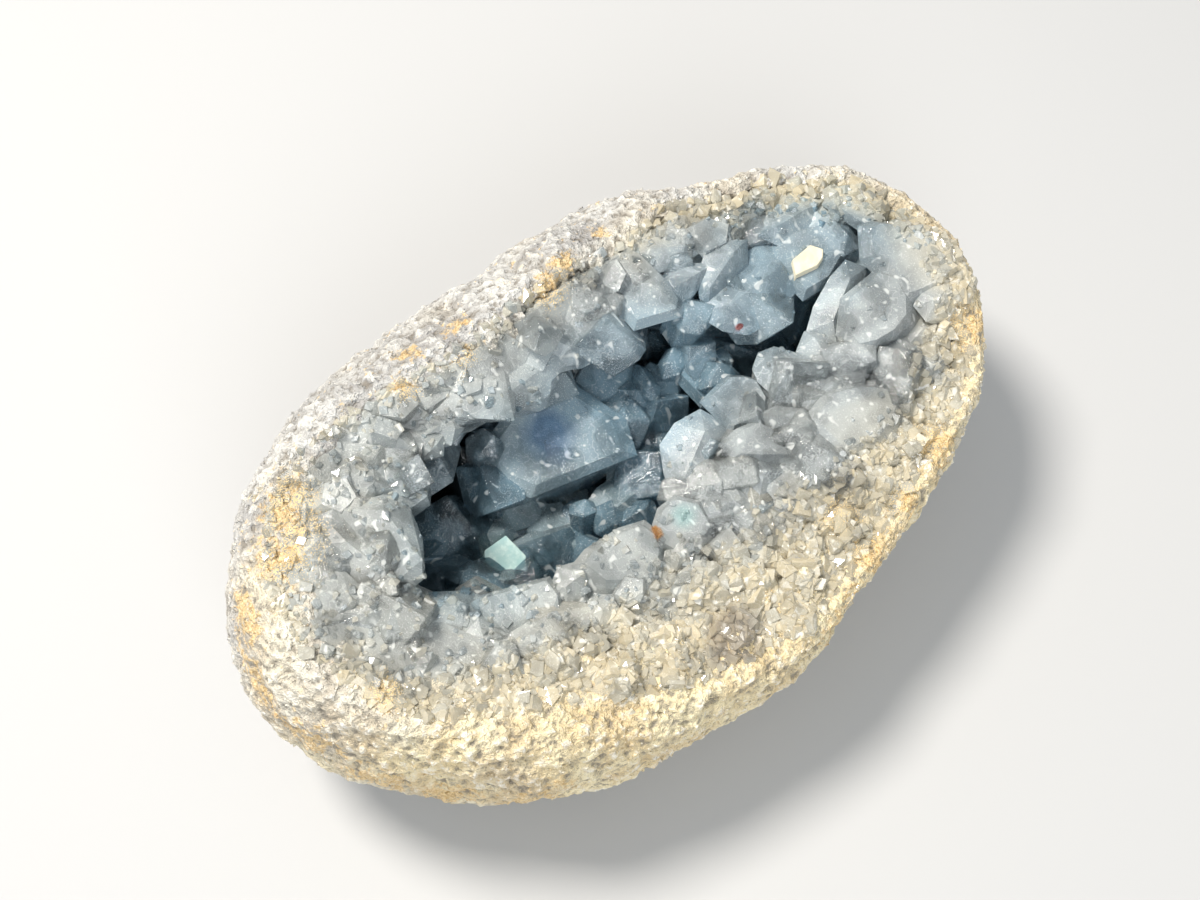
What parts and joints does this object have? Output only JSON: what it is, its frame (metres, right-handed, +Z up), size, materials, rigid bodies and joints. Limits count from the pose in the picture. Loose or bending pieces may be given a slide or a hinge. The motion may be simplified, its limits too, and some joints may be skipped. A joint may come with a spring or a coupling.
{
  "type": "celestite geode",
  "caption": "Egg-shaped stone nodule broken open on top, its hollow lined with blocky pale blue and grey translucent crystals; rests on a small flat spot.",
  "frame": {"origin": "on the flat spot the stone rests on, under the middle of its bounding box", "axes": "+X along the long axis, +Z up, the broken face and its hollow look up and towards -Y"},
  "size_m": [0.1282, 0.0792, 0.0513],
  "materials": {
    "stone_skin": "rough granular stone, cream to grey with orange stains",
    "celestite": "translucent flat-faced crystal, frosted with fine specks"
  },
  "bodies": {
    "root": {"geode_shell": "stone_skin", "crystal_crust": "celestite"}
  },
  "joints": []
}
